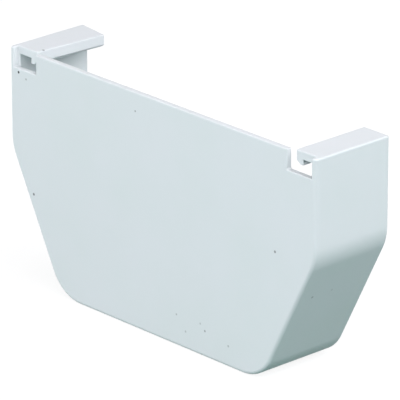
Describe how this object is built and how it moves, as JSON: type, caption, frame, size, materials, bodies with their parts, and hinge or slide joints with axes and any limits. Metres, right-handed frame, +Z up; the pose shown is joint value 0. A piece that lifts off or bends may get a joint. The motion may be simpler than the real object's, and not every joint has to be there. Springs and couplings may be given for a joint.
{
  "type": "gutter end cap",
  "caption": "Moulded end cap for a trapezoid rain gutter: a flat plate with a skirt that slips over the gutter's end and hooks along the top that hold its rims.",
  "frame": {"origin": "middle of the underside, on the plane that the cap stands on", "axes": "+X across the gutter, to the right when the plate's front is looked at; +Y from the plate towards the gutter; +Z up"},
  "size_m": [0.133, 0.0294, 0.0753],
  "materials": {
    "white_vinyl": "satin, faintly cool white, as moulded"
  },
  "bodies": {
    "root": {"end_cap": "white_vinyl"}
  },
  "joints": []
}
